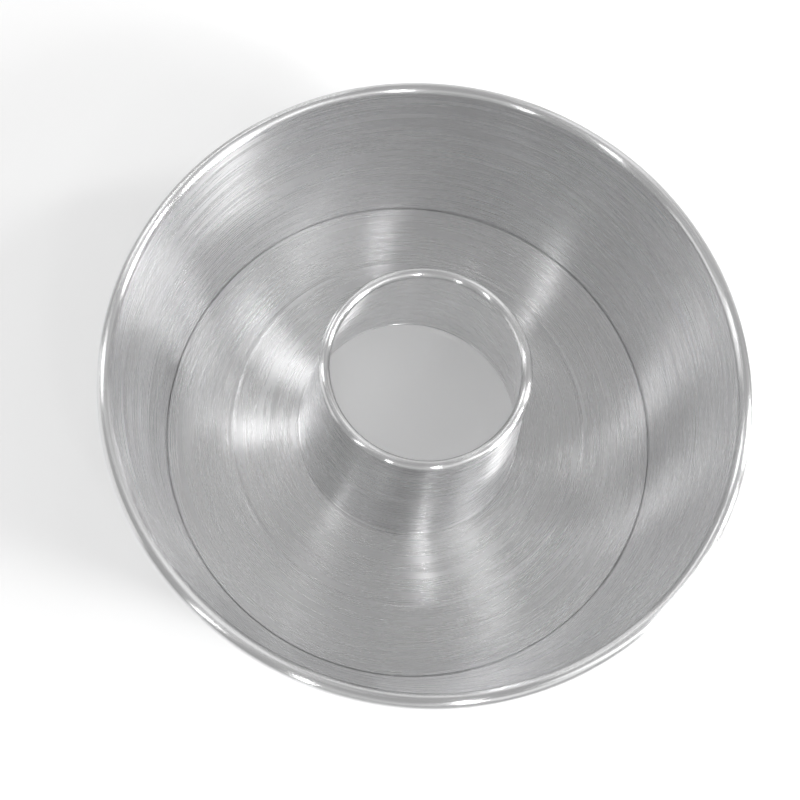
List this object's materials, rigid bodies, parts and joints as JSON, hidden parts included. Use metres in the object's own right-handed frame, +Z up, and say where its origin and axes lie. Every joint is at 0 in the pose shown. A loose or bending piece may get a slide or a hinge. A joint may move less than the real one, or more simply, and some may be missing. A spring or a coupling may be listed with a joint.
{
  "type": "angel food cake pan",
  "caption": "Round two-piece tube pan of spun aluminium with rolled rim, loose bottom plate and open tapered centre tube.",
  "frame": {"origin": "on the table under the centre of the pan", "axes": "+Z up along the axis of the pan; the pan is round, so +X and +Y are free"},
  "size_m": [0.266, 0.266, 0.1016],
  "materials": {
    "outer_shell": "satin, fine spin lines round the axis",
    "bottom_plate": "satin, fine spin lines round the axis",
    "centre_tube": "satin, fine spin lines round the axis"
  },
  "bodies": {
    "shell": {"outer_shell": "outer_shell"},
    "insert": {"bottom_plate": "bottom_plate", "centre_tube": "centre_tube"}
  },
  "joints": [
    {"name": "insert_lift", "type": "slide", "parent": "shell", "child": "insert", "axis": [0, 0, 1], "range_m": [0, 0.12]}
  ]
}
